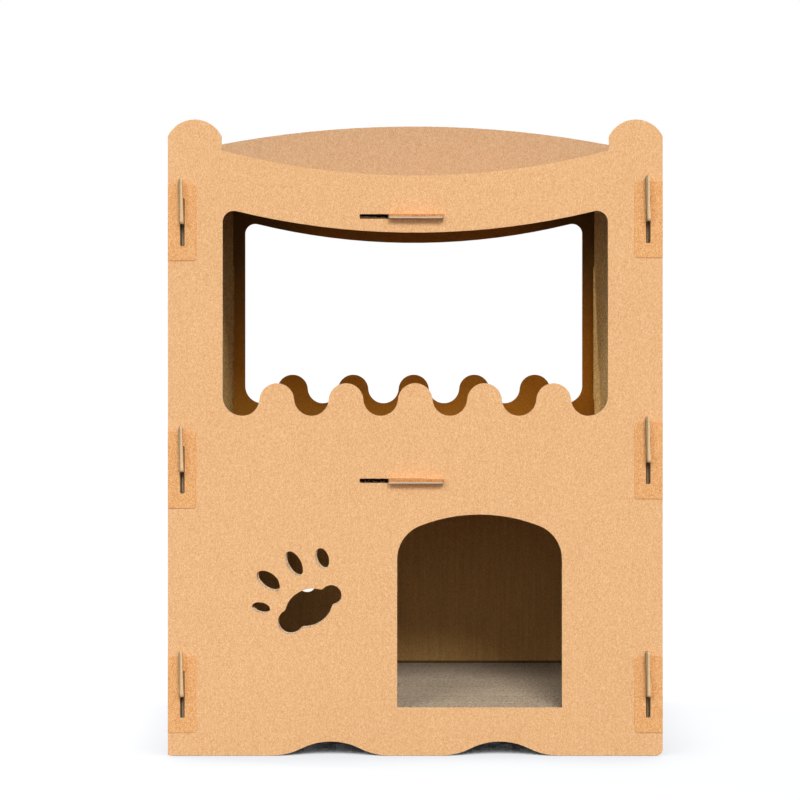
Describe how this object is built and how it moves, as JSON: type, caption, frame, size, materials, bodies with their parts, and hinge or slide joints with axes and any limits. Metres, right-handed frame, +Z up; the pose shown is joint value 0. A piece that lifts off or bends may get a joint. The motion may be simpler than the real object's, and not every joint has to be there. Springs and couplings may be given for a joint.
{
  "type": "cardboard cat house",
  "caption": "Flat-pack corrugated cardboard cat house with upper and lower rooms, a wavy window, an arched door, a curved lounge deck and scratch pads, held by hooks in slots.",
  "frame": {"origin": "bottom centre of the whole house: on the ground, half way between its sides and between the tips of its front and back hooks", "axes": "+X to the right as seen from the front, +Y from the front panel to the back panel, +Z up"},
  "size_m": [0.48, 0.3482, 0.6363],
  "materials": {
    "front_board": "matt kraft",
    "back_board": "matt kraft",
    "side_board": "matt kraft",
    "shelf_board": "matt kraft",
    "scratch_pad": "rough, open flutes",
    "patch_liner": "matt kraft paper"
  },
  "bodies": {
    "base": {"left_side_panel": "side_board", "right_side_panel": "side_board", "ground_floor": "shelf_board", "left_lower_pad": "scratch_pad", "right_lower_pad": "scratch_pad"},
    "shell": {"front_panel": "front_board", "back_panel": "back_board", "roof_deck": "shelf_board", "mid_floor": "shelf_board", "left_upper_pad": "scratch_pad", "right_upper_pad": "scratch_pad", "front_patch_left_lower": "patch_liner", "front_patch_left_middle": "patch_liner", "front_patch_left_upper": "patch_liner", "front_patch_right_lower": "patch_liner", "front_patch_right_middle": "patch_liner", "front_patch_right_upper": "patch_liner", "back_patch_left_lower": "patch_liner", "back_patch_left_middle": "patch_liner", "back_patch_left_upper": "patch_liner", "back_patch_right_lower": "patch_liner", "back_patch_right_middle": "patch_liner", "back_patch_right_upper": "patch_liner"},
    "scratch_pad": {"floor_scratch_pad": "scratch_pad"}
  },
  "joints": [
    {"name": "shell_lift", "type": "slide", "parent": "base", "child": "shell", "axis": [0, 0, 1], "range_m": [0, 0.0204]},
    {"name": "pad_slide", "type": "slide", "parent": "base", "child": "scratch_pad", "axis": [0, 1, 0], "range_m": [0, 0.0117]}
  ]
}
